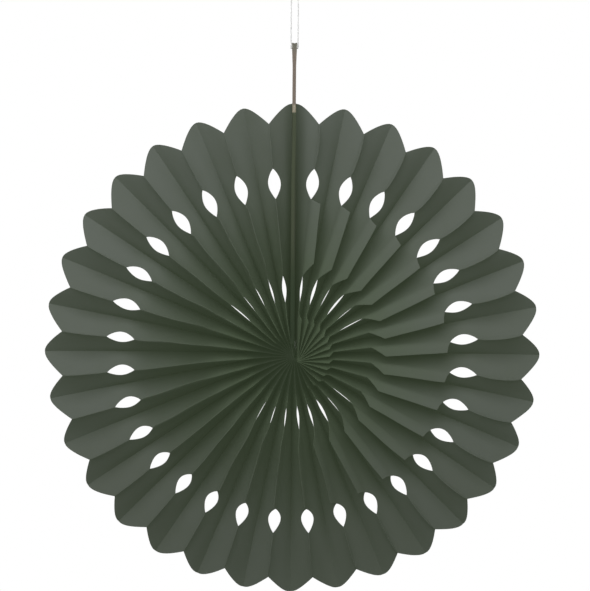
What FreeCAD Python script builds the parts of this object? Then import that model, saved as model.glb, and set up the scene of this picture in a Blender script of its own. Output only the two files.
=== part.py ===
"""A hanging paper fan medallion: glued, die-cut pages opened to a full disc and closed by two cover boards.

Millimetres, +Z up. The disc stands in the XZ plane with its front towards -Y. The origin is the top of the
string's loop, where a hook bears.
"""
import FreeCAD, Part
import math
import os

# Disc
petals = 32
tip_radius = 200.0
petal_depth = 14.4
petal_rounding = 0.35
paper = 0.3
rim_slope = 27.0

# Free page edges, from the centre outwards: start, outer end and width of each flap
rosette_end = 30.0
rosette_flap = 6.0
rosette_bend = 0.5, 0.8
flap_start = 75.0
flap_end = 124.0
flap_width = 9.0
flap_step = 7.0
bulge_flap = 3.0
hub_slack = 1.45

# Cuts in the front fold
slit_start = 42.0
slit_length = 21.0
slit_width = 3.4
leaf_start = 127.0
leaf_length = 24.0
leaf_width = 10.0
leaf_fullness = 0.9

# Clockwise lean of the flaps on each side of the disc, in degrees, and how late it fades towards the bottom
lean_right = 58.0
lean_left = 12.0
lean_fade = 5.0

# Seam
board = 1.3
board_front = 9.0
board_back = 10.5
board_foot = 9.0
adhesive = 0.2
end_page_front = 12.0
end_page_slant = 7.0

# Tab
tab_height = 48.0
tab_width = 18.0
tab_spread = 0.7
tab_spread_height = 18.0
tab_corner = 4.0
hole_diameter = 5.0
hole_margin = 6.0

# String
string = 0.9
string_gap = 0.2
string_rise = 45.0
edge_bend = 1.2
knot_diameter = 3.4
knot_height = 4.4
loop_height = 14.0
loop_width = 9.0
knot_taper = 4.5
knot_shoulder = 9.5

# Places
loop_top = string / 2
knot_z = loop_top - loop_height
tab_top = knot_z - string_rise
centre_z = tab_top - tab_height - tip_radius
seam_half = adhesive / 2 + board + paper
pages = 2 * petals
notch_radius = tip_radius - petal_depth
bulge_radius = (leaf_start + leaf_length + notch_radius) / 2

# The pages' inner ends are pressed together where there is just room for them around the centre
inner_radius = hub_slack * (pages * paper + 2 * seam_half) / (2 * math.pi)


def page_angle(radius):
    """Angle that each page takes at this radius, between the two faces of the seam."""
    return (2 * math.pi - 2 * math.asin(seam_half / radius)) / pages


page_width = tip_radius * page_angle(tip_radius) / math.cos(math.radians(rim_slope))


def spread(radius):
    """Sideways reach of one page at this radius."""
    return radius * page_angle(radius)


def half_depth(radius):
    """Distance of the front and back folds from the middle plane, for pages of constant width."""
    return math.sqrt(page_width**2 - spread(radius)**2) / 2


def lean_angle(turn):
    """Lean of a flap at this turn from the seam: far down on the right, slightly up on the left."""
    share = turn / math.pi
    if share <= 1:
        return math.radians(lean_right) * (1 - share**lean_fade)
    return math.radians(lean_left) * (1 - (2 - share)**lean_fade)


def leaf_half(share, width):
    """Half width of a leaf-shaped cut at this share of its length."""
    return width / 2 * (1 - (2 * share - 1)**2)**leaf_fullness


class Station:
    """One ring of the fan: its radius, its flap width, half its cut, and how far the flap leans."""

    def __init__(self, radius, flap=0.0, cut=0.0, lean=1.0, open_after=False, rim=False):
        self.radius = radius
        self.flap = flap
        self.cut = cut
        self.lean = lean
        self.open_after = open_after
        self.rim = rim


def cut_stations(start, length, width):
    """Rings along a leaf-shaped cut, from point to point."""
    shares = [0, 0.22, 0.5, 0.78, 1]
    return [
        Station(start + share * length, cut=leaf_half(share, width), open_after=share < 1)
        for share in shares
    ]


def stations():
    """All rings from the centre to the notches."""
    third = (rosette_end - inner_radius) / 3
    rings = [
        Station(inner_radius, rosette_flap, lean=0.0),
        Station(inner_radius + third, rosette_flap, lean=rosette_bend[0]),
        Station(inner_radius + 2 * third, rosette_flap, lean=rosette_bend[1]),
        Station(rosette_end, rosette_flap),
        Station(rosette_end + flap_step / 2),
    ]
    rings += cut_stations(slit_start, slit_length, slit_width)
    rings += [
        Station(flap_start, flap_width),
        Station((flap_start + flap_end) / 2, flap_width),
        Station(flap_end, flap_width),
    ]
    rings += cut_stations(leaf_start, leaf_length, leaf_width)
    rings += [Station(bulge_radius, bulge_flap), Station(notch_radius, rim=True)]
    return rings


class Net:
    """Corner points and triangles of a closed skin."""

    def __init__(self):
        self.points = []
        self.index = {}
        self.faces = []

    def corner(self, point):
        key = tuple(round(value, 5) for value in point)
        if key not in self.index:
            self.index[key] = len(self.points)
            self.points.append(FreeCAD.Vector(*key))
        return self.index[key]

    def triangle(self, a, b, c):
        corners = tuple(self.corner(point) for point in (a, b, c))
        if len(set(corners)) == 3:
            self.faces.append(corners)

    def polygon(self, points):
        for second, third in zip(points[1:-1], points[2:]):
            self.triangle(points[0], second, third)

    def strip(self, near, far, flip=False):
        """Skin between two chains that run the same way, each a list of (share, point).

        Both faces of a sheet are cut into triangles along the same lines, and flip turns them over.
        """
        turned = -1 if flip else 1
        i = j = 0
        while i < len(near) - 1 or j < len(far) - 1:
            near_next = near[i + 1][0] if i < len(near) - 1 else math.inf
            far_next = far[j + 1][0] if j < len(far) - 1 else math.inf
            if near_next <= far_next:
                self.triangle(*(near[i][1], near[i + 1][1], far[j][1])[::turned])
                i += 1
            else:
                self.triangle(*(near[i][1], far[j + 1][1], far[j][1])[::turned])
                j += 1

    def solid(self):
        shape = Part.Shape()
        shape.makeShapeFromMesh((self.points, self.faces), 0.0001)
        result = Part.Solid(Part.Shell(shape.Faces))
        print("triangles", len(self.faces), f"volume {result.Volume:.0f}")
        return result


def place(station, page, across, depth, radius=None):
    """Point on a ring: page counts pages from the seam, across is mm sideways, depth is mm to the back."""
    radius = radius or station.radius
    start = math.asin(seam_half / radius)
    turn = start + page * page_angle(radius)
    x = radius * math.sin(turn) + across * math.cos(turn)
    z = radius * math.cos(turn) - across * math.sin(turn)
    return (x, depth, centre_z + z)


class Fold:
    """The section of one ring's pages, in mm sideways and in depth, from a back fold to a front fold."""

    def __init__(self, station):
        self.station = station
        self.reach = spread(station.radius)
        self.half = half_depth(station.radius)
        self.slope = 2 * self.half / self.reach
        self.mitre = paper / 2 * math.hypot(1, self.slope)

    def front(self, across):
        """Depth of a page's front face, this far sideways from its front fold."""
        return -self.half + across * self.slope - self.mitre

    def back(self, across):
        """Depth of a page's back face, this far sideways from its front fold."""
        return -self.half + across * self.slope + self.mitre


def rim_radius(share):
    """Radius of a petal's edge at this share of a page, from its rounded tip to its notch."""
    drop = math.hypot(share, petal_rounding) - petal_rounding
    return tip_radius - petal_depth * drop / (math.hypot(1, petal_rounding) - petal_rounding)


def page_shares(station):
    """Shares of a page's width, from its back fold, at which a ring has points between its folds."""
    return [0.2, 0.45, 0.72] if station.rim else []


def page_chain(station, page, side, face):
    """One face of one page, from its back fold at page to its front fold on the given side (+1 or -1)."""
    fold = Fold(station)
    half_sheet = paper / 2
    chain = []
    tip = rim_radius(0) if station.rim else None
    tip_fold = Fold(Station(tip)) if tip else fold
    if face == "front":
        chain.append((0, place(station, page, 0, tip_fold.front(tip_fold.reach), tip)))
    elif 0 < page < pages:
        chain.append((0, place(station, page, side * half_sheet, tip_fold.half + half_sheet, tip)))
    else:
        chain.append((0, place(station, page, 0, tip_fold.half + half_sheet, tip)))
    for share in page_shares(station):
        radius = rim_radius(share)
        near = Fold(Station(radius))
        away = (1 - share) * near.reach
        depth = near.front(away) if face == "front" else near.back(away)
        chain.append((share, place(station, page, side * share * near.reach, depth, radius)))
    ridge = page + side
    if face == "front":
        edge = max(station.cut, half_sheet)
        chain.append((1, place(station, ridge, -side * edge, fold.front(edge))))
    else:
        chain.append((1, place(station, ridge, -side * station.cut, fold.back(station.cut))))
    return chain


def flap_points(station, ridge):
    """The two corners of a flap's free edge, or of the bare fold where there is no flap."""
    fold = Fold(station)
    turn = math.asin(seam_half / station.radius) + ridge * page_angle(station.radius)
    lean = station.lean * lean_angle(turn)
    edge = max(station.cut, paper / 2)
    points = []
    for side in (-1, 1):
        if station.flap:
            across = station.flap * math.sin(lean) + side * edge * math.cos(lean)
            depth = fold.front(edge) - station.flap * math.cos(lean) + side * edge * math.sin(lean)
        else:
            across = side * edge
            depth = fold.front(edge)
        points.append(place(station, ridge, across, depth))
    return points


def add_pleat(net, rings, ridge):
    """Skin of the two pages that meet at one front fold."""
    for near, far in zip(rings, rings[1:]):
        for side in (-1, 1):
            for face in ("front", "back"):
                chains = [page_chain(station, ridge + side, -side, face) for station in (near, far)]
                net.strip(*chains, flip=(side > 0) == (face == "front"))
        near_front = ridge_front(near, ridge)
        far_front = ridge_front(far, ridge)
        near_back = ridge_back(near, ridge)
        far_back = ridge_back(far, ridge)
        if not near.open_after:
            net.strip(near_front[:3], far_front[:3])
            net.strip(near_front[:1:-1], far_front[:1:-1], flip=True)
            net.strip(near_back, far_back, flip=True)
            continue
        for end, sign in ((0, 1), (-1, -1)):
            wall = [near_front[end][1], near_back[end][1], far_back[end][1], far_front[end][1]]
            net.polygon(wall[::sign])
    add_cut_ends(net, rings, ridge)


def ridge_front(station, ridge):
    """Front skin over one front fold, with its flap."""
    left = page_chain(station, ridge - 1, 1, "front")[-1][1]
    right = page_chain(station, ridge + 1, -1, "front")[-1][1]
    near_edge, far_edge = flap_points(station, ridge)
    return [(0, left), (1, near_edge), (2, far_edge), (3, right)]


def ridge_back(station, ridge):
    """Back skin under one front fold."""
    left = page_chain(station, ridge - 1, 1, "back")[-1][1]
    right = page_chain(station, ridge + 1, -1, "back")[-1][1]
    return [(0, left), (1, right)]


def add_cut_ends(net, rings, ridge):
    """Closes the fold at both points of each cut."""
    for before, station in zip([None] + rings, rings):
        opened = station.open_after and not before.open_after
        closed = before is not None and before.open_after and not station.open_after
        if opened or closed:
            outline = [point for share, point in ridge_front(station, ridge)]
            outline += [point for share, point in reversed(ridge_back(station, ridge))]
            net.polygon(outline if opened else outline[::-1])


def ring_section(station):
    """All front and back points of one ring, from one face of the seam to the other."""
    front = []
    back = []
    for ridge in range(1, pages, 2):
        front += [point for share, point in page_chain(station, ridge - 1, 1, "front")]
        front += [point for share, point in ridge_front(station, ridge)[1:]]
        front += [point for share, point in reversed(page_chain(station, ridge + 1, -1, "front"))][1:]
        back += [point for share, point in page_chain(station, ridge - 1, 1, "back")]
        back += [point for share, point in reversed(page_chain(station, ridge + 1, -1, "back"))]
    return front, back


def pleated_paper_fan():
    """All the pages, as one folded and glued sheet of even thickness."""
    net = Net()
    rings = stations()
    for ridge in range(1, pages, 2):
        add_pleat(net, rings, ridge)
    for near, far in zip(rings, rings[1:]):
        for page in range(2, pages, 2):
            near_left = page_chain(near, page, -1, "back")[0][1]
            near_right = page_chain(near, page, 1, "back")[0][1]
            far_left = page_chain(far, page, -1, "back")[0][1]
            far_right = page_chain(far, page, 1, "back")[0][1]
            net.polygon([near_left, far_left, far_right, near_right])
        for page, side in ((0, 1), (pages, -1)):
            front_near = page_chain(near, page, side, "front")[0][1]
            front_far = page_chain(far, page, side, "front")[0][1]
            back_near = page_chain(near, page, side, "back")[0][1]
            back_far = page_chain(far, page, side, "back")[0][1]
            net.polygon([front_near, front_far, back_far, back_near][::side])
    add_rim(net, rings[-1])
    add_hub(net, rings[0])
    return net.solid()


def add_rim(net, station):
    """The cut outer edge of every page."""
    for ridge in range(1, pages, 2):
        for page, side in ((ridge - 1, 1), (ridge + 1, -1)):
            front = page_chain(station, page, side, "front")
            back = page_chain(station, page, side, "back")
            if side > 0:
                net.strip(front, back)
            else:
                net.strip(back, front)
        net.strip(ridge_front(station, ridge), ridge_back(station, ridge))
    for page in range(2, pages, 2):
        front = page_chain(station, page, 1, "front")[0][1]
        left = page_chain(station, page, -1, "back")[0][1]
        right = page_chain(station, page, 1, "back")[0][1]
        net.triangle(front, right, left)


def add_hub(net, station):
    """The pages' inner ends, pressed together to a closed middle."""
    front, back = ring_section(station)
    front_middle = (0, -half_depth(station.radius), centre_z)
    back_middle = (0, half_depth(station.radius), centre_z)
    for first, second in zip(front, front[1:]):
        net.triangle(front_middle, first, second)
    for first, second in zip(back, back[1:]):
        net.triangle(back_middle, second, first)
    net.polygon([front_middle, back_middle, back[0], front[0]])
    net.polygon([front_middle, front[-1], back[-1], back_middle])


def box(x_range, y_range, z_range):
    """Block between two corners."""
    size = [high - low for low, high in (x_range, y_range, z_range)]
    return Part.makeBox(*size, FreeCAD.Vector(x_range[0], y_range[0], z_range[0]))


def prism(outline, along):
    """Solid from a closed outline of points, pushed along a vector."""
    points = [FreeCAD.Vector(*point) for point in outline]
    face = Part.Face(Part.makePolygon(points + points[:1]))
    return face.extrude(FreeCAD.Vector(*along))


def cover_board(side):
    """One stiff board of the seam, with its tab spread outwards above the rim and punched for the string."""
    inner = side * adhesive / 2
    outer = side * (adhesive / 2 + board)
    shift = side * tab_spread
    foot = centre_z + board_foot
    bend = tab_top - tab_spread_height
    section = [
        (inner, -board_front, foot),
        (outer, -board_front, foot),
        (outer, -board_front, bend),
        (outer + shift, -board_front, tab_top),
        (inner + shift, -board_front, tab_top),
        (inner, -board_front, bend),
    ]
    strip = prism(section, (0, board_front + board_back, 0))
    reach = board + tab_spread + adhesive
    tab_base = centre_z + tip_radius
    outline = box((-reach, reach), (-board_front, board_back), (foot, tab_base))
    tab = box((-reach, reach), (-board_front, tab_width - board_front), (tab_base, tab_top))
    top_edges = [edge for edge in tab.Edges if is_top_corner(edge)]
    strip = strip.common(outline.fuse(tab.makeFillet(tab_corner, top_edges)))
    hole = Part.makeCylinder(
        hole_diameter / 2,
        2 * reach,
        FreeCAD.Vector(-reach, 0, tab_top - hole_margin),
        FreeCAD.Vector(1, 0, 0),
    )
    return strip.cut(hole)


def is_top_corner(edge):
    """True for the tab's two upper edges that run through both boards."""
    box_of = edge.BoundBox
    return box_of.XLength > box_of.YLength + box_of.ZLength and box_of.ZMin > tab_top - 0.01


def adhesive_strip():
    """The sticky strip that holds the two boards together inside the disc."""
    return box(
        (-adhesive / 2, adhesive / 2),
        (-board_front, board_back),
        (centre_z + board_foot, centre_z + tip_radius),
    )


def end_page(side):
    """The last page on one side, glued over its board and turned in over the board's front edge."""
    inner = side * (adhesive / 2 + board)
    outer = side * seam_half
    foot = centre_z + board_foot
    section = [
        (inner, board_back, foot),
        (outer, board_back, foot),
        (outer, -end_page_front + paper, foot),
        (side * paper, -end_page_front, foot),
        (0, -end_page_front, foot),
        (0, -board_front, foot),
        (inner, -board_front, foot),
    ]
    sheet = prism(section, (0, 0, tip_radius - board_foot))
    top = centre_z + tip_radius
    slant = prism(
        [
            (-board - seam_half, -end_page_front, top),
            (-board - seam_half, board_back, top),
            (-board - seam_half, -end_page_front, top - end_page_slant),
        ],
        (2 * (board + seam_half), 0, 0),
    )
    return sheet.cut(slant)


def path_wire(points, bends):
    """Straight runs between points, joined by tangent arcs of the given radii."""
    corners = [FreeCAD.Vector(*point) for point in points]
    edges = []
    start = corners[0]
    for before, corner, after, bend in zip(corners, corners[1:], corners[2:], bends):
        inward = (before - corner).normalize()
        outward = (after - corner).normalize()
        turn = math.pi - inward.getAngle(outward)
        setback = bend * math.tan(turn / 2)
        first = corner + inward * setback
        last = corner + outward * setback
        middle = corner + (inward + outward).normalize() * (bend / math.cos(turn / 2) - bend)
        edges.append(Part.LineSegment(start, first).toShape())
        edges.append(Part.Arc(first, middle, last).toShape())
        start = last
    edges.append(Part.LineSegment(start, corners[-1]).toShape())
    return Part.Wire(edges)


def natural_bends(points):
    """Arc radii as large as the runs on both sides of each corner allow."""
    corners = [FreeCAD.Vector(*point) for point in points]
    bends = []
    for before, corner, after in zip(corners, corners[1:], corners[2:]):
        turn = math.pi - (before - corner).getAngle(after - corner)
        run = min((before - corner).Length, (after - corner).Length)
        bends.append(0.45 * run / math.tan(turn / 2))
    return bends


def tube(name, points, bends):
    """Round string along a path; prints its radii, length and how its volume compares."""
    wire = path_wire(points, bends)
    start = FreeCAD.Vector(*points[0])
    ahead = FreeCAD.Vector(*points[1]) - start
    profile = Part.Wire(Part.makeCircle(string / 2, start, ahead))
    result = wire.makePipeShell([profile], True, False)
    expected = math.pi * string**2 / 4 * wire.Length
    radii = ", ".join(f"{bend:.1f}" for bend in bends)
    print(f"{name}: radii {radii} mm, length {wire.Length:.1f} mm, volume {result.Volume / expected:.4f}")
    return result


def string_route():
    """The doubled string: down the left of the tab, through its hole and up the right."""
    side = adhesive / 2 + board + tab_spread + string / 2 + string_gap
    seat = tab_top - hole_margin + hole_diameter / 2 - string / 2 - string_gap
    neck = string / 2 + string_gap / 2
    knot_foot = knot_z - knot_height / 2 + string
    left = [
        (-neck, 0, knot_foot),
        (-side * 0.8, 0, knot_foot - knot_taper),
        (-side, 0, knot_foot - knot_shoulder),
        (-side, 0, seat),
    ]
    right = [(-x, y, z) for x, y, z in reversed(left)]
    return left + right


def hanging_string():
    route = string_route()
    bends = natural_bends(route)
    bends[2] = bends[3] = edge_bend
    return tube("hanging_string", route, bends)


def string_loop():
    """The small loop above the knot."""
    neck = string / 2 + string_gap / 2
    foot = knot_z + knot_height / 2 - string
    side = loop_width / 2
    top = loop_top - string / 2
    left = [
        (-neck, 0, foot),
        (-side * 0.8, 0, foot + (top - foot) * 0.3),
        (-side, 0, foot + (top - foot) * 0.65),
        (-side * 0.55, 0, top),
    ]
    route = left + [(-x, y, z) for x, y, z in reversed(left)]
    return tube("string_loop", route, natural_bends(route))


def string_knot(ends):
    """The knot, a rounded barrel around the ends of the string."""
    radius = knot_diameter / 2
    half = knot_height / 2
    profile = Part.BSplineCurve()
    profile.interpolate(
        [
            FreeCAD.Vector(string, 0, knot_z - half),
            FreeCAD.Vector(radius, 0, knot_z - half * 0.4),
            FreeCAD.Vector(radius * 0.86, 0, knot_z),
            FreeCAD.Vector(radius, 0, knot_z + half * 0.4),
            FreeCAD.Vector(string, 0, knot_z + half),
        ]
    )
    low = FreeCAD.Vector(0, 0, knot_z - half)
    high = FreeCAD.Vector(0, 0, knot_z + half)
    wire = Part.Wire(
        [
            Part.LineSegment(low, profile.StartPoint).toShape(),
            profile.toShape(),
            Part.LineSegment(profile.EndPoint, high).toShape(),
            Part.LineSegment(high, low).toShape(),
        ]
    )
    barrel = Part.Face(wire).revolve(FreeCAD.Vector(), FreeCAD.Vector(0, 0, 1), 360)
    for end in ends:
        barrel = barrel.cut(end)
    return barrel


def main():
    os.makedirs("parts", exist_ok=True)
    string_pieces = {"hanging_string": hanging_string(), "string_loop": string_loop()}
    shapes = {
        "pleated_paper_fan": pleated_paper_fan(),
        "left_cover_board": cover_board(-1),
        "right_cover_board": cover_board(1),
        "adhesive_strip": adhesive_strip(),
        "left_end_page": end_page(-1),
        "right_end_page": end_page(1),
        "string_knot": string_knot(string_pieces.values()),
        **string_pieces,
    }
    for name, shape in shapes.items():
        print(name, "valid", shape.isValid(), "solids", len(shape.Solids), f"volume {shape.Volume:.0f}")
        shape.exportStep(f"parts/{name}.step")


main()
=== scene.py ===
"""Looks of a hanging paper fan medallion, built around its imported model.

Metres, +Z up. The disc stands in the XZ plane with its front towards -Y and hangs from the origin.
"""
from __future__ import annotations

import logging
import math
import random
from dataclasses import dataclass, field
from enum import Enum
from typing import Sequence

import bmesh
import bpy
from mathutils import Matrix, Vector, noise


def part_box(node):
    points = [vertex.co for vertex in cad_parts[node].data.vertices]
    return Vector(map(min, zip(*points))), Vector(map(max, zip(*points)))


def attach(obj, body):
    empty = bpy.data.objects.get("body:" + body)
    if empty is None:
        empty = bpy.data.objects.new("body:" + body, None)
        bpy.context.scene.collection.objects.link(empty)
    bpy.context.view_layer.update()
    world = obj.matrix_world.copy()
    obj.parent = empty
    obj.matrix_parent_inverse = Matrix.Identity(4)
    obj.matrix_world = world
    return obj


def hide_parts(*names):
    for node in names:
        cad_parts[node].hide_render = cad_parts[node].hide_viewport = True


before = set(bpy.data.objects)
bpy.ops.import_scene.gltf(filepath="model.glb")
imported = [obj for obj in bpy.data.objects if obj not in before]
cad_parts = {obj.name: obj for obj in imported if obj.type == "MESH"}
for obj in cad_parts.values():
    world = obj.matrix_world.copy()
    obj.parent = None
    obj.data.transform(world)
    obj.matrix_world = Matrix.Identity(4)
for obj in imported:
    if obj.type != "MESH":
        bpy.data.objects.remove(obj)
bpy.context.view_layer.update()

LOG = logging.getLogger("paper_fan")
SEED = 32
MM = 0.001
PICTURE = (590, 591)

Colour = tuple[float, float, float]
Point = tuple[float, float, float]
Triple = tuple[float, float, float]
Span = tuple[float, float]


class Side(Enum):
    """The two sides of the seam, as seen from the front."""

    LEFT = -1
    RIGHT = 1

    @property
    def word(self) -> str:
        """The side's name in small letters."""
        return self.name.lower()


class Value:
    """A number in a material's nodes, on which Python's arithmetic adds Math nodes."""

    def __init__(self, dress: "Dress", socket: bpy.types.NodeSocket) -> None:
        """Wraps an output socket.

        Args:
            dress: the material that the socket belongs to.
            socket: the number's output socket.
        """
        self.dress = dress
        self.socket = socket

    def _math(self, operation: str, *terms: "Value | float") -> "Value":
        """Adds one Math node on these terms."""
        return self.dress.value("ShaderNodeMath", {"operation": operation}, dict(enumerate(terms)))

    def __add__(self, other: "Value | float") -> "Value":
        """Sum."""
        return self._math("ADD", self, other)

    __radd__ = __add__

    def __sub__(self, other: "Value | float") -> "Value":
        """Difference."""
        return self._math("SUBTRACT", self, other)

    def __rsub__(self, other: "Value | float") -> "Value":
        """Difference with this value taken away."""
        return self._math("SUBTRACT", other, self)

    def __mul__(self, other: "Value | float") -> "Value":
        """Product."""
        return self._math("MULTIPLY", self, other)

    __rmul__ = __mul__

    def band(self, low: float, high: float) -> "Value":
        """Smooth step from 0 at low to 1 at high."""
        settings = {"interpolation_type": "SMOOTHSTEP"}
        return self.dress.value("ShaderNodeMapRange", settings, {0: self, 1: low, 2: high})


class Dress:
    """One material and the nodes that make it."""

    def __init__(self, name: str) -> None:
        """Starts a material with a Principled shader and its output.

        Args:
            name: the material's name.
        """
        self.material = bpy.data.materials.new(name)
        self.material.use_nodes = True
        self.nodes = self.material.node_tree.nodes
        self.links = self.material.node_tree.links
        self.shader = self.nodes["Principled BSDF"]
        self.output = self.nodes["Material Output"]

    def node(self, kind: str, settings: dict | None = None, inputs: dict | None = None) -> bpy.types.Node:
        """Adds any node.

        Args:
            kind: the node's type.
            settings: its properties, set first.
            inputs: values or links of its sockets, by name or place.

        Returns:
            The new node.
        """
        node = self.nodes.new(kind)
        for key, setting in (settings or {}).items():
            setattr(node, key, setting)
        for key, term in (inputs or {}).items():
            self.feed(node.inputs[key], term)
        return node

    def feed(self, socket: bpy.types.NodeSocket, term: object) -> None:
        """Links a socket or sets its value.

        Args:
            socket: the input socket.
            term: a number, a colour, a value or another node's output.
        """
        if isinstance(term, Value):
            term = term.socket
        if isinstance(term, bpy.types.NodeSocket):
            self.links.new(term, socket)
        else:
            socket.default_value = term

    def value(self, kind: str, settings: dict | None = None, inputs: dict | None = None) -> Value:
        """Adds a node and returns its first output as a number."""
        return Value(self, self.node(kind, settings, inputs).outputs[0])

    def noise(self, place: bpy.types.NodeSocket, scale: float = 1.0, *, detail: float) -> Value:
        """Fine or coarse random mottle, from 0 to 1."""
        inputs = {"Vector": place, "Scale": scale, "Detail": detail}
        return self.value("ShaderNodeTexNoise", None, inputs)

    def stretch(self, place: bpy.types.NodeSocket, scale: Sequence[float]) -> bpy.types.NodeSocket:
        """A place scaled differently along its axes."""
        node = self.node("ShaderNodeVectorMath", {"operation": "MULTIPLY"}, {0: place, 1: scale})
        return node.outputs[0]

    def mix(self, factor: Value | float, low: object, high: object) -> bpy.types.NodeSocket:
        """Blends two colours.

        Args:
            factor: 0 for the first and 1 for the second.
            low: the first, as a colour or a socket.
            high: the second.

        Returns:
            The blend's output.
        """
        node = self.node("ShaderNodeMix", {"data_type": "RGBA"})
        self.feed(node.inputs["Factor"], factor)
        for socket, colour in ((node.inputs[6], low), (node.inputs[7], high)):
            self.feed(socket, (*colour, 1) if isinstance(colour, tuple) else colour)
        return node.outputs[2]

    def attribute(self, name: str, output: str = "Vector") -> bpy.types.NodeSocket:
        """A piece's own attribute."""
        return self.node("ShaderNodeAttribute", {"attribute_name": name}).outputs[output]

    def object_place(self) -> bpy.types.NodeSocket:
        """Object coordinates."""
        return self.node("ShaderNodeTexCoord").outputs["Object"]

    def bump(self, height: Value, strength: float, distance: float) -> None:
        """Gives the surface relief from a height."""
        inputs = {"Height": height, "Strength": strength, "Distance": distance}
        self.links.new(self.node("ShaderNodeBump", None, inputs).outputs[0], self.shader.inputs["Normal"])

    def set(self, **sockets: object) -> None:
        """Sets the Principled shader's sockets, named with underscores for spaces."""
        for name, term in sockets.items():
            self.feed(self.shader.inputs[name.replace("_", " ")], term)


@dataclass(frozen=True)
class FanPaper:
    """Thin matt paper, dyed dark grey-green right through; its glow is painted light that stands in for
    light shining through it, and its colour carries painted shade near the hub and towards the bottom.
    """

    # Colours of the outer paper, lighter and darker, of its inner part, darker and greener as painted
    # shade deep in the pleats, of its cut edge, and of the painted shade in the hollow
    lit: Colour = (0.082, 0.088, 0.086)
    deep: Colour = (0.068, 0.073, 0.067)
    inner: Colour = (0.046, 0.064, 0.036)
    edge: Colour = (0.036, 0.044, 0.034)
    pit: Colour = (0.009, 0.012, 0.007)
    edge_share: float = 0.6
    # Colours of the painted glow, which stands in for light shining through the paper, and its strength
    shine: Colour = (0.077, 0.104, 0.056)
    inner_shine: Colour = (0.051, 0.073, 0.037)
    pit_shine: Colour = (0.062, 0.091, 0.046)
    glow: float = 0.35
    # Radii from the inner painted shade to the outer colour, and the hollow's depth that has its full
    # painted shade
    outer_radii: Span = (0.01, 0.17)
    pit_depth: float = 0.6
    # Heights between which painted shade darkens the disc downwards, and by how much it dims the colour
    # and the painted glow
    low_heights: Span = (-0.26, -0.5)
    low_shade: float = 0.4
    low_shine: float = 0.5
    # Sizes of the pattern, in cycles per metre
    mottle_scale: float = 60.0
    fibre_scale: Triple = (900.0, 5200.0, 1.0)
    grain_scale: float = 1400.0
    # Shares of mottle, fibres and the fold's own tone in the lighter colour, and what is taken off
    lit_shares: Triple = (0.5, 0.3, 0.4)
    lit_offset: float = 0.1
    # Share of mottle in the outer colour, and what is taken off
    outer_mottle: float = 0.2
    outer_offset: float = 0.1
    # Roughness and its change with the mottle, and gloss
    roughness: float = 0.78
    roughness_change: float = 0.12
    gloss: float = 0.25

    def build(self) -> bpy.types.Material:
        """Makes the material.

        Returns:
            The material.
        """
        dress = Dress("fan_paper")
        page = dress.attribute("page")
        place = dress.object_place()
        mottle = dress.noise(place, self.mottle_scale, detail=4.0)
        fibres = dress.noise(dress.stretch(page, self.fibre_scale), detail=2.0)
        grain = dress.noise(place, self.grain_scale, detail=2.0)
        tone = Value(dress, dress.attribute("tone", "Fac"))
        parts = dress.node("ShaderNodeSeparateXYZ", None, {0: place})
        # Painted shade: darker colour and dimmer painted glow towards the bottom of the disc
        low = Value(dress, parts.outputs["Z"]).band(*self.low_heights)
        by_mottle, by_fibres, by_tone = self.lit_shares
        shade = mottle * by_mottle + fibres * by_fibres + tone * by_tone
        shade = shade - low * self.low_shade - self.lit_offset
        rim = Value(dress, dress.attribute("rim", "Fac"))
        radius = dress.value("ShaderNodeSeparateXYZ", None, {0: page})
        # Painted shade: the inner part darker and greener, deep in the pleats near the hub
        outward = radius.band(*self.outer_radii) + mottle * self.outer_mottle - self.outer_offset
        colour = dress.mix(outward, self.inner, dress.mix(shade, self.deep, self.lit))
        # Painted shade: a dark colour and a dimmer painted glow in the hollow beside the hub
        painted_hollow_shade = Value(dress, dress.attribute("painted_hollow_shade", "Fac")).band(0.0, self.pit_depth)
        colour = dress.mix(rim * self.edge_share, colour, self.edge)
        colour = dress.mix(painted_hollow_shade, colour, self.pit)
        # Painted light: the glow is emission standing in for light shining through the paper
        shine = dress.mix(outward * (1.0 - low * self.low_shine), self.inner_shine, self.shine)
        shine = dress.mix(painted_hollow_shade, shine, self.pit_shine)
        dress.set(Base_Color=colour, Emission_Color=shine, Emission_Strength=self.glow)
        roughness = self.roughness + mottle * self.roughness_change
        dress.set(Roughness=roughness, Specular_IOR_Level=self.gloss)
        dress.bump(fibres * 0.5 + grain * 0.5 + mottle * 2.5, strength=0.35, distance=0.12 * MM)
        return dress.material


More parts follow.
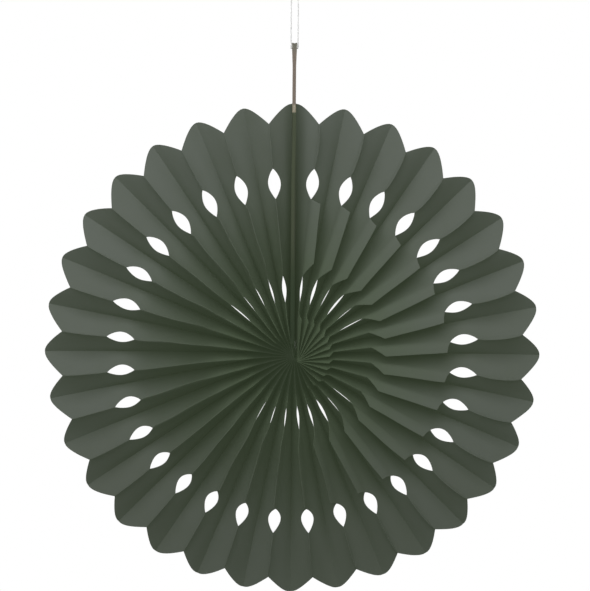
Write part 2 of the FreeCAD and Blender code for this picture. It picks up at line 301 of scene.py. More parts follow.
@dataclass(frozen=True)
class SeamPaper:
    """The end pages' paper, drawn tight over the boards, with painted shade along both edges and lower
    down towards the hub, and a painted glow.
    """

    # Own colour, painted shade of the edges and of the lower part, and the painted glow's strength
    face: Colour = (0.047, 0.058, 0.033)
    crease: Colour = (0.026, 0.032, 0.019)
    buried: Colour = (0.022, 0.034, 0.016)
    glow: float = 0.2
    # Place of the light stripe between the painted edge shade: left of the middle, and more to the right
    # between these heights
    stripe_offset: float = 0.3 * MM
    stripe_shift: float = 0.8 * MM
    shift_heights: Span = (-0.17, -0.115)
    # Squared distances from the stripe's middle, in square millimetres, from the painted edge shade to the
    # face
    stripe_squares: Span = (2.6, 0.8)
    # Heights over which painted shade darkens the paper towards the hub
    buried_heights: Span = (-0.205, -0.255)
    grain_scale: Triple = (600.0, 600.0, 60.0)
    roughness: float = 0.78
    roughness_change: float = 0.12
    gloss: float = 0.25

    def build(self) -> bpy.types.Material:
        """Makes the material.

        Returns:
            The material.
        """
        dress = Dress("seam_paper")
        place = dress.object_place()
        parts = dress.node("ShaderNodeSeparateXYZ", None, {0: place})
        height = Value(dress, parts.outputs["Z"])
        shift = height.band(*self.shift_heights) * self.stripe_shift
        across = Value(dress, parts.outputs["X"]) - shift + self.stripe_offset
        mottle = dress.noise(dress.stretch(place, self.grain_scale), detail=3.0)
        # Painted shade: darker away from the light stripe's middle and lower down
        centre = (across * across * 1e6).band(*self.stripe_squares)
        colour = dress.mix(centre * 0.7 + mottle * 0.3, self.crease, self.face)
        colour = dress.mix(height.band(*self.buried_heights), colour, self.buried)
        # Painted light: the glow is emission in the paper's own colour
        dress.set(Base_Color=colour, Emission_Color=colour, Emission_Strength=self.glow)
        roughness = self.roughness + mottle * self.roughness_change
        dress.set(Roughness=roughness, Specular_IOR_Level=self.gloss)
        dress.bump(mottle, strength=0.5, distance=0.25 * MM)
        return dress.material


@dataclass(frozen=True)
class CoverCard:
    """Grey-brown pressed card, darker where it was cut through its layers."""

    face: Colour = (0.225, 0.185, 0.150)
    dark: Colour = (0.150, 0.124, 0.102)
    # Painted shade of the string near the tab's top
    aged: Colour = (0.150, 0.146, 0.118)
    raw: Colour = (0.250, 0.222, 0.160)
    speck: Colour = (0.34, 0.30, 0.25)
    speck_levels: Span = (0.62, 0.75)
    speck_share: float = 0.35
    # Heights over which the card turns greyer with the string's painted shade, near the tab's top, and
    # raw, below the rim
    aged_heights: Span = (-0.068, -0.061)
    raw_heights: Span = (-0.1055, -0.1075)
    layer_scale: Triple = (5200.0, 300.0, 90.0)
    pulp_scale: float = 700.0
    speck_scale: float = 2600.0
    roughness: float = 0.78
    roughness_change: float = 0.15
    gloss: float = 0.2

    def build(self) -> bpy.types.Material:
        """Makes the material.

        Returns:
            The material.
        """
        dress = Dress("cover_card")
        place = dress.object_place()
        layers = dress.noise(dress.stretch(place, self.layer_scale), detail=2.0)
        pulp = dress.noise(place, self.pulp_scale, detail=5.0)
        specks = dress.noise(place, self.speck_scale, detail=2.0).band(*self.speck_levels)
        height = Value(dress, dress.node("ShaderNodeSeparateXYZ", None, {0: place}).outputs["Z"])
        colour = dress.mix(layers * 0.6 + pulp * 0.4, self.dark, self.face)
        # Painted shade: the string's shadow near the tab's top
        colour = dress.mix(height.band(*self.aged_heights), colour, self.aged)
        colour = dress.mix(height.band(*self.raw_heights), colour, self.raw)
        dress.set(Base_Color=dress.mix(specks * self.speck_share, colour, self.speck))
        roughness = self.roughness + pulp * self.roughness_change
        dress.set(Roughness=roughness, Specular_IOR_Level=self.gloss)
        dress.bump(layers + pulp, strength=0.4, distance=0.15 * MM)
        return dress.material


@dataclass(frozen=True)
class StringFibre:
    """Thin white twisted string."""

    pale: Colour = (0.84, 0.84, 0.83)
    groove: Colour = (0.66, 0.66, 0.65)
    groove_levels: Span = (0.3, 0.6)
    strand_scale: Triple = (3800.0, 3800.0, 700.0)
    roughness: float = 0.55
    roughness_change: float = 0.2

    def build(self) -> bpy.types.Material:
        """Makes the material.

        Returns:
            The material.
        """
        dress = Dress("string_fibre")
        place = dress.object_place()
        strands = dress.noise(dress.stretch(place, self.strand_scale), detail=2.0)
        dress.set(Base_Color=dress.mix(strands.band(*self.groove_levels), self.groove, self.pale))
        dress.set(Roughness=self.roughness + strands * self.roughness_change)
        dress.bump(strands, strength=0.5, distance=0.2 * MM)
        return dress.material


@dataclass(frozen=True)
class AdhesiveFilm:
    """Pale sticky strip between the two boards."""

    film: Colour = (0.62, 0.60, 0.54)
    cloudy: Colour = (0.52, 0.50, 0.44)
    cloud_scale: float = 160.0
    roughness: float = 0.35
    roughness_change: float = 0.2

    def build(self) -> bpy.types.Material:
        """Makes the material.

        Returns:
            The material.
        """
        dress = Dress("adhesive_film")
        cloud = dress.noise(dress.object_place(), self.cloud_scale, detail=3.0)
        dress.set(Base_Color=dress.mix(cloud, self.cloudy, self.film))
        dress.set(Roughness=self.roughness + cloud * self.roughness_change)
        return dress.material


def add_object(name: str, mesh: bpy.types.Mesh, material: bpy.types.Material) -> bpy.types.Object:
    """Links a new piece at the origin.

    Args:
        name: the piece's name.
        mesh: its mesh, in place.
        material: its finish.

    Returns:
        The new object.
    """
    piece = bpy.data.objects.new(name, mesh)
    mesh.materials.append(material)
    bpy.context.scene.collection.objects.link(piece)
    return piece


def settle(piece: bpy.types.Object) -> None:
    """Makes a piece's modifiers part of its mesh.

    Args:
        piece: the piece, which keeps its material.
    """
    graph = bpy.context.evaluated_depsgraph_get()
    mesh = bpy.data.meshes.new_from_object(piece.evaluated_get(graph))
    piece.modifiers.clear()
    piece.data = mesh


def fade(distance: float, reach: float, width: float) -> float:
    """Share that falls from 1 to 0 over a width that ends at the reach."""
    return min(max((reach - distance) / width, 0), 1)


@dataclass
class PleatedFan:
    """The glued, die-cut pages, opened to a full disc.

    A turn around the disc is in degrees, clockwise from the seam at the top.
    """

    centre: Vector
    tip_radius: float
    petals: int = 32
    sheet: float = 0.2 * MM
    seam_half: float = 1.7 * MM
    rim_slope: float = math.radians(27)
    # Petals
    petal_depth: float = 14.4 * MM
    petal_rounding: float = 0.35
    rim_band: float = 0.5 * MM
    # Pages' inner ends: start, sideways shift of the front folds, its reach, and a slight lift further out
    inner_radius: float = 1.9 * MM
    hub_shift: Vector = field(default_factory=lambda: Vector((3.4, 0, -3.0)) * MM)
    hub_reach: float = 30 * MM
    hub_fade: float = 1.4
    inner_lift: float = 1.6 * MM
    # Hollow beside the hub: a wide dish and a steep well, each with its radius, the share of it that
    # fades, and its sector's turn, half angle and fading angle
    hub_dish: float = 42 * MM
    dish_fade: float = 0.6
    dish_sector: Triple = (220, 105, 60)
    hub_well: float = 19 * MM
    well_fade: float = 0.35
    well_sector: Triple = (250, 125, 50)
    recess_depth: float = 0.85
    # Pressed hub and its neck under the boards
    hub_radius: float = 3.2 * MM
    hub_back: float = 0.8
    hub_flute: float = 0.9
    hub_depth: float = 6 * MM
    neck_depth: float = 0.9
    neck_overlap: float = 0.1 * MM
    board_foot: float = 9 * MM
    # Rosette: its flaps' end and width, and how their width changes, in half turns from the seam
    rosette_end: float = 30 * MM
    rosette_flap: float = 6 * MM
    rosette_least: float = 0.25
    rosette_right_end: float = 0.72
    rosette_left_start: float = 1.75
    rosette_left_rise: float = 0.45
    # Slits: where they open and how far, and the turns and half angles where they stand open
    slit: Span = (42 * MM, 63 * MM)
    slit_width: float = 4.0 * MM
    slit_chance: Span = (0.3, 1)
    slit_least: float = 0.5
    slit_top: float = -6
    slit_top_reach: Span = (56, 78)
    slit_bottom: float = 170
    slit_bottom_reach: float = 46
    slit_fade: float = 0.7
    # Flaps
    flap: Span = (75 * MM, 124 * MM)
    flap_width: float = 9 * MM
    flap_step: float = 7 * MM
    bulge_flap: float = 3.6 * MM
    # Leaf-shaped holes: their form, and the mean and the change of length and width around the disc
    leaf: Span = (126.2 * MM, 150.2 * MM)
    leaf_width: float = 10 * MM
    leaf_rise: float = 0.6 * MM
    leaf_fullness: float = 0.82
    leaf_lengths: Span = (0.92, 0.08)
    leaf_widths: Span = (0.94, 0.14)
    # Lean of the flaps: angles, weaker near the rim and the hub, and least at the flap's own foot
    lean_right: float = math.radians(74)
    lean_left: float = math.radians(13)
    lean_fade: float = 5.0
    lean_scatter: float = math.radians(4)
    lean_rim: float = 0.55
    lean_hub: float = 0.5
    lean_foot: float = 0.45
    lean_curl: float = 1.4
    sway: float = math.radians(9)
    # Soft relief of the pages, with its steps per metre of radius, from fold to fold and across a page
    bow: float = 0.42
    wave: float = 0.9 * MM
    wave_steps: Triple = (28, 2.3, 1.5)
    sway_steps: Span = (40, 3.7)
    fibre_step: float = 0.37
    bulge_scatter: float = 0.35 * MM
    ply_share: float = 0.45
    crease_angle: float = math.radians(38)
    # Grid of a page
    base_columns: int = 9
    flap_columns: int = 3
    bend_steps: int = 4

    def __post_init__(self) -> None:
        """Works out the page width, the rings and each fold's own lean."""
        self.pages = 2 * self.petals
        reach = self.tip_radius * self.page_angle(self.tip_radius)
        self.page_width = reach / math.cos(self.rim_slope)
        self.notch_radius = self.tip_radius - self.petal_depth
        self.bulge_radius = (self.leaf[1] + self.notch_radius) / 2
        self.radii = self.ring_radii()
        chance = random.Random(SEED)
        self.leans = [self.lean(ridge) + chance.gauss(0, self.lean_scatter) for ridge in range(self.pages)]
        self.tones = [chance.random() for _ in range(self.pages)]
        self.slits = [chance.uniform(*self.slit_chance) for _ in range(self.pages)]
        self.bulges = [chance.gauss(0, self.bulge_scatter) for _ in range(self.pages)]

    def page_angle(self, radius: float) -> float:
        """Angle that each page takes at this radius, between the two faces of the seam."""
        return (2 * math.pi - 2 * math.asin(self.seam_half / radius)) / self.pages

    def half_depth(self, radius: float) -> float:
        """Distance of the folds from the middle plane, for pages of constant width."""
        reach = radius * self.page_angle(radius)
        return math.sqrt(max(self.page_width**2 - reach**2, 0)) / 2

    def ring_radii(self) -> list[float]:
        """Radii of the rings, closer together where the pages' cut edge turns.

        Returns:
            Radii from the hub to the notches.
        """
        stretches = [
            (self.inner_radius, self.rosette_end, 9),
            (self.rosette_end, self.rosette_end + self.flap_step / 2, 2),
            (self.rosette_end + self.flap_step / 2, self.slit[0], 2),
            (*self.slit, 8),
            (self.slit[1], self.flap[0], 3),
            (*self.flap, 12),
            (self.flap[1], self.leaf[0], 2),
            (*self.leaf, 12),
            (self.leaf[1], self.bulge_radius, 4),
            (self.bulge_radius, self.notch_radius - self.rim_band, 7),
            (self.notch_radius - self.rim_band, self.notch_radius, 1),
        ]
        radii = [self.inner_radius]
        for low, high, count in stretches:
            radii += [low + (high - low) * (step + 1) / count for step in range(count)]
        return radii

    def lean(self, ridge: int) -> float:
        """Lean of a flap: far down on the right, slightly up on the left and none at the bottom.

        Args:
            ridge: the front fold, counted in pages clockwise from the seam.

        Returns:
            The clockwise lean in radians.
        """
        share = 2 * ridge / self.pages
        if share <= 1:
            return self.lean_right * (1 - share**self.lean_fade)
        return self.lean_left * (1 - (2 - share) ** self.lean_fade)

    def slit_share(self, ridge: int) -> float:
        """How far a slit stands open: wide near the top and the bottom, closed at the sides.

        Args:
            ridge: the front fold, counted in pages clockwise from the seam.

        Returns:
            A share from 0 to 1.
        """
        turn = 360 * ridge / self.pages
        left, right = self.slit_top_reach
        offset = (turn - self.slit_top + 180) % 360 - 180
        from_top = offset / right if offset > 0 else -offset / left
        from_bottom = abs(turn - self.slit_bottom) / self.slit_bottom_reach
        nearness = max(1 - min(from_top, from_bottom), 0)
        return self.slits[ridge % self.pages] * nearness**self.slit_fade

    def uprightness(self, ridge: int) -> float:
        """1 at the top of the disc, 0 at its sides and -1 at the bottom."""
        return math.cos(2 * math.pi * ridge / self.pages)

    def leaf_scale(self, ridge: int) -> Span:
        """Form of a leaf-shaped hole, drawn out at the top where the pages hang freely.

        Args:
            ridge: the front fold, counted in pages clockwise from the seam.

        Returns:
            Its length and width, as shares of the usual ones.
        """
        upright = self.uprightness(ridge)
        length, length_change = self.leaf_lengths
        width, width_change = self.leaf_widths
        return length + length_change * upright, width + width_change * upright**2

    def ring_radius(self, ring: int, ridge: int) -> float:
        """Radius of a ring, drawn together along a shorter hole and inwards at the bottom.

        Args:
            ring: the ring, counted from the hub.
            ridge: the front fold, counted in pages clockwise from the seam.

        Returns:
            The ring's radius on the pages at this fold.
        """
        radius = self.radii[ring]
        if self.leaf[0] <= radius <= self.leaf[1]:
            middle = sum(self.leaf) / 2
            lowness = max(-self.uprightness(ridge), 0)
            radius = middle + (radius - middle) * self.leaf_scale(ridge)[0] - self.leaf_rise * lowness
        return radius

    def cut_half(self, radius: float, ridge: int) -> float:
        """Half width of the hole that the pages leave on a front fold.

        Args:
            radius: the ring's usual radius.
            ridge: the front fold, counted in pages clockwise from the seam.

        Returns:
            The half width, or 0 where there is no hole.
        """
        leaf_width = self.leaf_width * self.leaf_scale(ridge)[1]
        middle = sum(self.slit) / 2
        openness = self.slits[ridge % self.pages]
        reach = (self.slit[1] - middle) * (self.slit_least + (1 - self.slit_least) * openness)
        slit = (middle - reach, middle + reach)
        cuts = ((slit, self.slit_width * self.slit_share(ridge)), (self.leaf, leaf_width))
        for (low, high), width in cuts:
            if low < radius < high:
                share = (radius - low) / (high - low)
                return width / 2 * (1 - (2 * share - 1) ** 2) ** self.leaf_fullness
        return 0.0

    def rosette_share(self, ridge: int) -> float:
        """How far a rosette flap stands out: fully on the right, hardly on the left and below.

        Args:
            ridge: the front fold, counted in pages clockwise from the seam.

        Returns:
            A share of the flap's full width.
        """
        share = 2 * ridge / self.pages
        if share <= 1:
            end = self.rosette_right_end
            return 1 - (1 - self.rosette_least) * max(share - end, 0) / (1 - end)
        start = self.rosette_left_start
        return self.rosette_least + self.rosette_left_rise * max(share - start, 0) / (2 - start)

    def flap_at(self, radius: float, ridge: int) -> float:
        """Width of the free page edge in front of a front fold.

        Args:
            radius: the ring's usual radius.
            ridge: the front fold, counted in pages clockwise from the seam.

        Returns:
            The width, or 0 where the pages are glued up to their edge.
        """
        if radius <= self.rosette_end + self.flap_step / 2:
            over = max(radius - self.rosette_end, 0) / (self.flap_step / 2)
            return self.rosette_flap * self.rosette_share(ridge) * (1 - over)
        if self.slit[1] < radius < self.flap[0]:
            return self.flap_width * (radius - self.slit[1]) / (self.flap[0] - self.slit[1])
        if self.flap[0] <= radius <= self.flap[1]:
            return self.flap_width
        if self.flap[1] < radius < self.leaf[0]:
            return self.flap_width * (self.leaf[0] - radius) / (self.leaf[0] - self.flap[1])
        if radius > self.leaf[1]:
            share = (radius - self.leaf[1]) / (self.notch_radius - self.leaf[1])
            return self.bulge_flap * math.sin(math.pi * min(share, 1)) ** 0.5
        return 0.0

    def recess(self, ridge: int, radius: float) -> float:
        """How far a front fold sinks in beside the hub on the left and below.

        Args:
            ridge: the front fold, counted in pages clockwise from the seam.
            radius: distance from the disc's centre.

        Returns:
            A share from 0 to 1.
        """
        turn = 360 * ridge / self.pages
        hollows = (
            (self.hub_dish, self.dish_fade, *self.dish_sector),
            (self.hub_well, self.well_fade, *self.well_sector),
        )
        return max(
            fade(radius, reach, share * reach) * fade(abs(turn - middle), half, width)
            for reach, share, middle, half, width in hollows
        )

    def rim_drop(self, share: float) -> float:
        """How far a petal's edge lies inside its tip's radius, by the sideways share from the tip."""
        full = math.hypot(1, self.petal_rounding) - self.petal_rounding
        return self.petal_depth * (math.hypot(share, self.petal_rounding) - self.petal_rounding) / full

    def sideways_share(self, across: float, radius: float) -> float:
        """Sideways share of a page's reach at this share of its width, for pages that bow."""
        bow = self.bow * (1 - min(radius / self.notch_radius, 1) ** 4)
        return across - bow * math.sin(2 * math.pi * across) / (2 * math.pi)

    def point(self, fold: int, side: int, radius: float, across: float, over: float) -> Vector:
        """Place of one point of a page.

        Args:
            fold: the back fold that the page starts at, counted in pages from the seam.
            side: +1 for the page clockwise of the fold, -1 for the other.
            radius: distance from the disc's centre.
            across: share of the page's width, from its back fold to its front fold.
            over: distance beyond the front fold, along the flap.

        Returns:
            The point in the row frame.
        """
        ridge = fold + side
        reach = radius * self.page_angle(radius)
        half = self.half_depth(radius)
        ply = -side * self.sheet * self.ply_share * across
        sideways = side * self.sideways_share(across, radius) * reach + ply
        bulge = self.bulges[fold % self.pages] + self.bulges[ridge % self.pages]
        swell = radius / self.tip_radius * math.sin(math.pi * across)
        along_page, fold_step, across_page = self.wave_steps
        wave = noise.noise(Vector((radius * along_page, fold * fold_step, across * across_page + side)))
        depth = half * (1 - 2 * across) + (bulge + self.wave * wave) * swell
        if depth < 0:
            depth *= 1 - self.recess_depth * self.recess(ridge, radius)
        if over > 0:
            sideways, depth = self.bend(ridge, radius, over, sideways, depth)
        start = math.asin(self.seam_half / radius)
        turn = start + fold * self.page_angle(radius) + sideways / radius
        along = Vector((math.sin(turn), 0, math.cos(turn)))
        near = max(1 - radius / self.hub_reach, 0) ** self.hub_fade
        front = 0.5 - 0.5 * depth / self.half_depth(self.inner_radius)
        lift = self.inner_lift * math.sin(math.pi * min(radius / self.flap[1], 1)) ** 2
        shift = (self.hub_shift * near + Vector((0, 0, lift))) * min(max(front, 0), 1)
        return self.centre + along * radius + shift + Vector((0, depth, 0))

    def bend(self, ridge: int, radius: float, over: float, sideways: float, depth: float) -> Span:
        """Carries a point out along a flap that leans over more and more.

        Args:
            ridge: the front fold, counted in pages clockwise from the seam.
            radius: distance from the disc's centre.
            over: distance beyond the front fold, along the flap.
            sideways: the front fold's sideways place.
            depth: the front fold's distance behind the middle plane.

        Returns:
            The point's new sideways and depth.
        """
        lean = self.leans[ridge % self.pages]
        lean *= min(1.0, (radius - self.inner_radius) / (self.rosette_end - self.inner_radius))
        if radius > self.leaf[1]:
            lean *= self.lean_rim
        elif radius < self.slit[0]:
            lean *= self.lean_hub
        along_page, fold_step = self.sway_steps
        lean += self.sway * noise.noise(Vector((radius * along_page, ridge * fold_step, 0.5)))
        length = over / self.bend_steps
        for step in range(self.bend_steps):
            out = (step + 0.5) * length / self.flap_width
            turn = lean * (self.lean_foot + (1 - self.lean_foot) * min(1.0, out * self.lean_curl))
            sideways += length * math.sin(turn)
            depth -= length * math.cos(turn)
        return sideways, depth

    def add_page(self, mesh: bmesh.types.BMesh, fold: int, side: int) -> None:
        """Adds one page as a grid that is bent into place, with the attributes that its colours read.

        Args:
            mesh: the fan's mesh.
            fold: the back fold that the page starts at, counted in pages from the seam.
            side: +1 for the page clockwise of the fold, -1 for the other.
        """
        rings = len(self.radii) - 1
        columns = self.base_columns + self.flap_columns
        made = bmesh.ops.create_grid(mesh, x_segments=rings, y_segments=columns, size=0.5)
        page = mesh.verts.layers.float_vector["page"]
        tone = mesh.verts.layers.float["tone"]
        rim = mesh.verts.layers.float["rim"]
        painted_hollow_shade = mesh.verts.layers.float["painted_hollow_shade"]
        low = Vector((min(v.co.x for v in made["verts"]), min(v.co.y for v in made["verts"])))
        size = max(v.co.x for v in made["verts"]) - low.x
        for vertex in made["verts"]:
            ring = round((vertex.co.x - low.x) / size * rings)
            column = round((vertex.co.y - low.y) / size * columns)
            flat = self.radii[ring]
            radius = self.ring_radius(ring, fold + side)
            reach = radius * self.page_angle(radius)
            limit = 1 - self.cut_half(flat, fold + side) / reach
            across = limit * min(column / self.base_columns, 1)
            over = self.flap_at(flat, fold + side) * max(column - self.base_columns, 0) / self.flap_columns
            if radius > self.bulge_radius:
                share = (radius - self.bulge_radius) / (self.notch_radius - self.bulge_radius)
                radius += (self.petal_depth - self.rim_drop(across)) * share
            vertex.co = self.point(fold, side, radius, across, over)
            place = (radius, across * self.page_width + over, fold * self.fibre_step + side)
            vertex[page] = Vector(place)
            vertex[tone] = self.tones[(fold + side) % self.pages]
            vertex[rim] = 1.0 if ring == rings else 0.0
            # Share of the hollow's painted shade at this point
            vertex[painted_hollow_shade] = self.recess(fold + side, radius)
        if side < 0:
            faces = {face for vertex in made["verts"] for face in vertex.link_faces}
            bmesh.ops.reverse_faces(mesh, faces=list(faces))

    def build_hub(self, material: bpy.types.Material) -> None:
        """Makes the pages' glued inner ends, pressed together around the centre and under the boards.

        Args:
            material: the paper.
        """
        work = bmesh.new()
        painted_hollow_shade = work.verts.layers.float.new("painted_hollow_shade")
        turn = Matrix.Rotation(math.pi / 2, 3, "X")
        made = bmesh.ops.create_cone(
            work,
            cap_ends=True,
            segments=self.pages,
            radius1=self.hub_radius,
            radius2=self.hub_radius * self.hub_back,
            depth=self.hub_depth,
        )
        bmesh.ops.rotate(work, verts=made["verts"], cent=(0, 0, 0), matrix=turn)
        for count, vertex in enumerate(sorted(made["verts"], key=lambda v: math.atan2(v.co.x, v.co.z))):
            if count % 4 < 2:
                vertex.co.x *= self.hub_flute
                vertex.co.z *= self.hub_flute
        neck = bmesh.ops.create_cube(work, size=1)
        size = (2 * self.seam_half, self.hub_depth * self.neck_depth, self.board_foot)
        bmesh.ops.scale(work, vec=size, verts=neck["verts"])
        rise = self.board_foot / 2 - self.neck_overlap
        bmesh.ops.translate(work, vec=(0, 0, rise), verts=neck["verts"])
        bmesh.ops.translate(work, vec=self.centre, verts=work.verts[:])
        # The whole hub takes the hollow's painted shade
        for vertex in work.verts:
            vertex[painted_hollow_shade] = 1.0
        mesh = bpy.data.meshes.new("pressed_hub")
        work.to_mesh(mesh)
        work.free()
        hub = add_object("pressed_hub", mesh, material)
        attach(hub, "root")
        LOG.info("pressed hub: %d faces", len(mesh.polygons))

    def build(self, material: bpy.types.Material) -> bpy.types.Object:
        """Makes all the pages as one piece.

        Args:
            material: the paper.

        Returns:
            The fan.
        """
        work = bmesh.new()
        work.verts.layers.float_vector.new("page")
        work.verts.layers.float.new("tone")
        work.verts.layers.float.new("rim")
        work.verts.layers.float.new("painted_hollow_shade")
        for ridge in range(1, self.pages, 2):
            self.add_page(work, ridge - 1, 1)
            self.add_page(work, ridge + 1, -1)
        bmesh.ops.dissolve_degenerate(work, dist=0.01 * MM, edges=work.edges[:])
        mesh = bpy.data.meshes.new("pleated_fan")
        work.to_mesh(mesh)
        work.free()
        fan = add_object("pleated_fan", mesh, material)
        wall = fan.modifiers.new("sheet", "SOLIDIFY")
        wall.thickness = self.sheet
        wall.offset = 0
        settle(fan)
        fan.data.shade_smooth()
        fan.data.set_sharp_from_angle(angle=self.crease_angle)
        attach(fan, "root")
        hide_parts("pleated_paper_fan")
        LOG.info("pleated fan: %d pages, %d faces", self.pages, len(fan.data.polygons))
        return fan


@dataclass
class Hanger:
    """The doubled string, its knot and its loop."""

    tab_top: float
    string: float = 0.9 * MM
    gap: float = 0.2 * MM
    adhesive: float = 0.2 * MM
    board: float = 1.3 * MM
    tab_spread: float = 0.7 * MM
    hole_diameter: float = 5 * MM
    hole_margin: float = 6 * MM
    knot_height: float = 4.4 * MM
    knot_taper: float = 4.5 * MM
    knot_shoulder: float = 9.5 * MM
    strand_neck: float = 0.8
    loop_height: float = 14 * MM
    loop_width: float = 9 * MM
    # Control points of the loop's half, as shares of its half width and of its height
    loop_neck: Span = (0.8, 0.7)
    loop_side: Span = (1, 0.35)
    loop_crown: Span = (0.55, 0)

    def string_route(self) -> list[Point]:
        """Points of the doubled string, as in the model.

        Returns:
            Points from the knot, through the tab's hole and back.
        """
        side = self.adhesive / 2 + self.board + self.tab_spread + self.string / 2 + self.gap
        seat = self.tab_top - self.hole_margin + self.hole_diameter / 2 - self.string / 2 - self.gap
        neck = self.string / 2 + self.gap / 2
        knot = self.string / 2 - self.loop_height
        foot = knot - self.knot_height / 2 + self.string
        straight = 6 * self.string
        left = [
            (-neck, 0, foot),
            (-side * self.strand_neck, 0, foot - self.knot_taper),
            (-side, 0, foot - self.knot_shoulder),
            (-side, 0, seat + straight),
            (-side, 0, seat + self.string),
            (-side, 0, seat),
            (-side + self.string, 0, seat),
        ]
        return left + [(-x, y, z) for x, y, z in reversed(left)]

    def loop_route(self) -> list[Point]:
        """Points of the small loop above the knot.

        Returns:
            Points from the knot round to the knot.
        """
        neck = self.string / 2 + self.gap / 2
        knot = self.string / 2 - self.loop_height
        foot = knot + self.knot_height / 2 - self.string
        side = self.loop_width / 2
        left = [(-neck, 0, foot)]
        for out, down in (self.loop_neck, self.loop_side, self.loop_crown):
            left.append((-side * out, 0, foot * down))
        return left + [(-x, y, z) for x, y, z in reversed(left)]

    def cord(self, name: str, route: Sequence[Point], material: bpy.types.Material) -> bpy.types.Object:
        """Makes a round string along a smooth line.

        Args:
            name: the piece's name.
            route: its control points.
            material: its finish.

        Returns:
            The string as a curve.
        """
        curve = bpy.data.curves.new(name, "CURVE")
        curve.dimensions = "3D"
        curve.bevel_depth = self.string / 2
        curve.bevel_resolution = 3
        curve.resolution_u = 10
        curve.use_fill_caps = True
        spline = curve.splines.new("NURBS")
        spline.points.add(len(route) - 1)
        for point, place in zip(spline.points, route):
            point.co = (*place, 1)
        spline.order_u = 3
        spline.use_endpoint_u = True
        curve.materials.append(material)
        piece = bpy.data.objects.new(name, curve)
        bpy.context.scene.collection.objects.link(piece)
        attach(piece, "root")
        return piece

    def build(self, material: bpy.types.Material) -> None:
        """Makes the string and its loop around the knot.

        Args:
            material: the string's finish.
        """
        dress_node("string_knot", material)
        strand = self.cord("doubled_string", self.string_route(), material)
        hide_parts("hanging_string")
        loop = self.cord("top_loop", self.loop_route(), material)
        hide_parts("string_loop")
        LOG.info("string: doubled strand, knot and loop")


def dress_node(name: str, material: bpy.types.Material) -> None:
    """Gives a kept piece of the model its finish.

    Args:
        name: the piece's node.
        material: its finish.
    """
    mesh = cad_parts[name].data
    mesh.materials.clear()
    mesh.materials.append(material)


@dataclass
class Seam:
    """The two cover boards with their end pages, closed by the adhesive strip."""

    tab_base: float
    tab_top: float
    inner_gap: float = 0.1 * MM
    spread: float = 0.7 * MM
    spread_height: float = 18 * MM
    edges: tuple[Span, Span] = ((-8.9 * MM, -5.0 * MM), (5.0 * MM, 8.9 * MM))
    ply_drop: float = 0.4 * MM

    def split_plies(self, card: bpy.types.Material) -> None:
        """Adds the boards' loose inner plies, which fill the gap along both edges of the tab.

        Args:
            card: the boards' finish.
        """
        work = bmesh.new()
        bend = self.tab_top - self.spread_height
        top = self.tab_top - self.ply_drop
        opened = self.inner_gap + self.spread * (top - bend) / self.spread_height
        outline = [(self.inner_gap, self.tab_base), (self.inner_gap, bend), (opened, top)]
        outline += [(-x, z) for x, z in reversed(outline)]
        for low, high in self.edges:
            corners = [work.verts.new((x, low, z)) for x, z in outline]
            front = work.faces.new(corners)
            pushed = bmesh.ops.extrude_face_region(work, geom=[front])
            moved = [item for item in pushed["geom"] if isinstance(item, bmesh.types.BMVert)]
            bmesh.ops.translate(work, vec=(0, high - low, 0), verts=moved)
        bmesh.ops.recalc_face_normals(work, faces=work.faces[:])
        mesh = bpy.data.meshes.new("split_plies")
        work.to_mesh(mesh)
        work.free()
        plies = add_object("split_plies", mesh, card)
        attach(plies, "root")
        LOG.info("split plies: %d faces", len(mesh.polygons))

    def build(self, card: bpy.types.Material, paper: bpy.types.Material, film: bpy.types.Material) -> None:
        """Dresses the boards, end pages and strip.

        Args:
            card: the boards' finish.
            paper: the end pages' finish.
            film: the adhesive's finish.
        """
        self.split_plies(card)
        for side in Side:
            dress_node(f"{side.word}_cover_board", card)
            dress_node(f"{side.word}_end_page", paper)
            LOG.info("%s cover board and end page", side.word)
        dress_node("adhesive_strip", film)
        LOG.info("adhesive strip")


@dataclass(frozen=True)
class Lamp:
    """A square soft light, placed from the disc's centre."""

    name: str
    place: Point
    size: float
    power: float


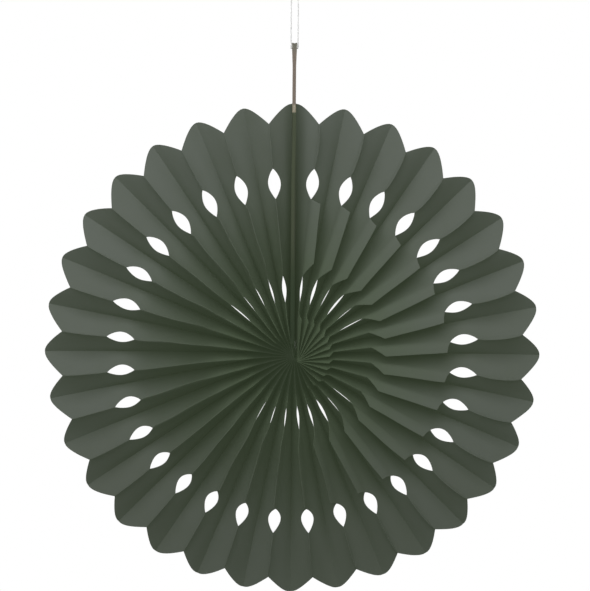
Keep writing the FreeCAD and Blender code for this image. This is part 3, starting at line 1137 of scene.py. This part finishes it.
@dataclass
class Studio:
    """Floor, light and camera."""

    aim: Vector
    lamps: tuple[Lamp, ...] = (
        Lamp("key_light", (-0.1, -0.62, 0.54), size=0.85, power=7.3),
        Lamp("front_light", (0.2, -2.1, 0.55), size=0.7, power=1.5),
    )
    ambient: float = 0.12
    floor_height: float = -1.0
    floor_radius: float = 1.1
    floor_grey: Colour = (0.3, 0.3, 0.3)
    floor_glow: float = 0.93
    distance: float = 1.6
    elevation: float = math.radians(10)
    roll: float = math.radians(0.45)
    pixels_per_metre: float = 1240.0
    centre_pixel: Span = (292.6, 353.0)

    def floor(self) -> None:
        """Adds a pale floor that keeps a soft shadow and meets a white background."""
        work = bmesh.new()
        bmesh.ops.create_circle(work, cap_ends=True, segments=96, radius=self.floor_radius)
        bmesh.ops.translate(work, verts=work.verts[:], vec=(0, 0, self.floor_height))
        mesh = bpy.data.meshes.new("floor")
        work.to_mesh(mesh)
        work.free()
        dress = Dress("pale_floor")
        dress.set(Base_Color=(*self.floor_grey, 1), Roughness=0.9)
        glow = dress.node("ShaderNodeEmission", None, {"Color": (1, 1, 1, 1), "Strength": 1.0})
        light = dress.node("ShaderNodeLightPath")
        seen = Value(dress, light.outputs["Is Camera Ray"]) + Value(dress, light.outputs["Is Glossy Ray"])
        blend = dress.node("ShaderNodeMixShader")
        dress.feed(blend.inputs[0], seen * self.floor_glow)
        dress.links.new(dress.shader.outputs[0], blend.inputs[1])
        dress.links.new(glow.outputs[0], blend.inputs[2])
        dress.links.new(blend.outputs[0], dress.output.inputs[0])
        add_object("floor", mesh, dress.material)

    def world(self) -> None:
        """Adds even light from all sides on a white background."""
        world = bpy.data.worlds.new("studio")
        world.use_nodes = True
        bpy.context.scene.world = world
        nodes = world.node_tree.nodes
        links = world.node_tree.links
        background = nodes["Background"]
        background.inputs["Color"].default_value = (1, 1, 1, 1)
        light = nodes.new("ShaderNodeLightPath")
        seen = nodes.new("ShaderNodeMath")
        seen.operation = "MAXIMUM"
        links.new(light.outputs["Is Camera Ray"], seen.inputs[0])
        links.new(light.outputs["Is Glossy Ray"], seen.inputs[1])
        strength = nodes.new("ShaderNodeMapRange")
        links.new(seen.outputs[0], strength.inputs[0])
        strength.inputs[3].default_value = self.ambient
        strength.inputs[4].default_value = 1.0
        links.new(strength.outputs[0], background.inputs["Strength"])

    def add_lamp(self, lamp: Lamp) -> None:
        """Adds a lamp that points at the disc and isn't seen itself.

        Args:
            lamp: its place, size and power.
        """
        light = bpy.data.lights.new(lamp.name, "AREA")
        light.size = lamp.size
        light.energy = lamp.power
        holder = bpy.data.objects.new(lamp.name, light)
        holder.visible_camera = False
        bpy.context.scene.collection.objects.link(holder)
        offset = Vector(lamp.place)
        turn = (-offset).to_track_quat("-Z", "Y").to_matrix().to_4x4()
        holder.matrix_world = Matrix.Translation(self.aim + offset) @ turn

    def camera(self) -> None:
        """Adds the camera at the photograph's viewing angle."""
        focal = self.pixels_per_metre * self.distance
        data = bpy.data.cameras.new("camera")
        data.sensor_fit = "HORIZONTAL"
        data.sensor_width = 36.0
        data.lens = focal / PICTURE[0] * data.sensor_width
        camera = bpy.data.objects.new("camera", data)
        bpy.context.scene.collection.objects.link(camera)
        bpy.context.scene.camera = camera
        back = Vector((0, -math.cos(self.elevation), math.sin(self.elevation)))
        place = self.aim + back * self.distance
        right = math.atan((PICTURE[0] / 2 - self.centre_pixel[0]) / focal)
        below = math.atan((self.centre_pixel[1] - PICTURE[1] / 2) / focal)
        tilt = Matrix.Rotation(math.pi / 2 - self.elevation + below, 4, "X")
        pan = Matrix.Rotation(-right, 4, "Z")
        camera.matrix_world = Matrix.Translation(place) @ pan @ tilt @ Matrix.Rotation(self.roll, 4, "Z")

    def build(self) -> None:
        """Adds the whole studio."""
        self.floor()
        self.world()
        for lamp in self.lamps:
            self.add_lamp(lamp)
        self.camera()
        bpy.context.scene.view_settings.view_transform = "Standard"


def main() -> None:
    """Builds every piece in order."""
    logging.basicConfig(level=logging.INFO, format="%(message)s")
    low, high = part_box("pleated_paper_fan")
    _, tab_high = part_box("left_cover_board")
    centre = Vector((0, 0, (low.z + high.z) / 2))
    Studio(aim=centre).build()
    string = StringFibre().build()
    Hanger(tab_top=tab_high.z).build(string)
    paper = FanPaper().build()
    fan = PleatedFan(centre=centre, tip_radius=(high.z - low.z) / 2)
    fan.build(paper)
    fan.build_hub(paper)
    seam = Seam(tab_base=high.z, tab_top=tab_high.z)
    seam.build(CoverCard().build(), SeamPaper().build(), AdhesiveFilm().build())


if __name__ == "__main__":
    main()
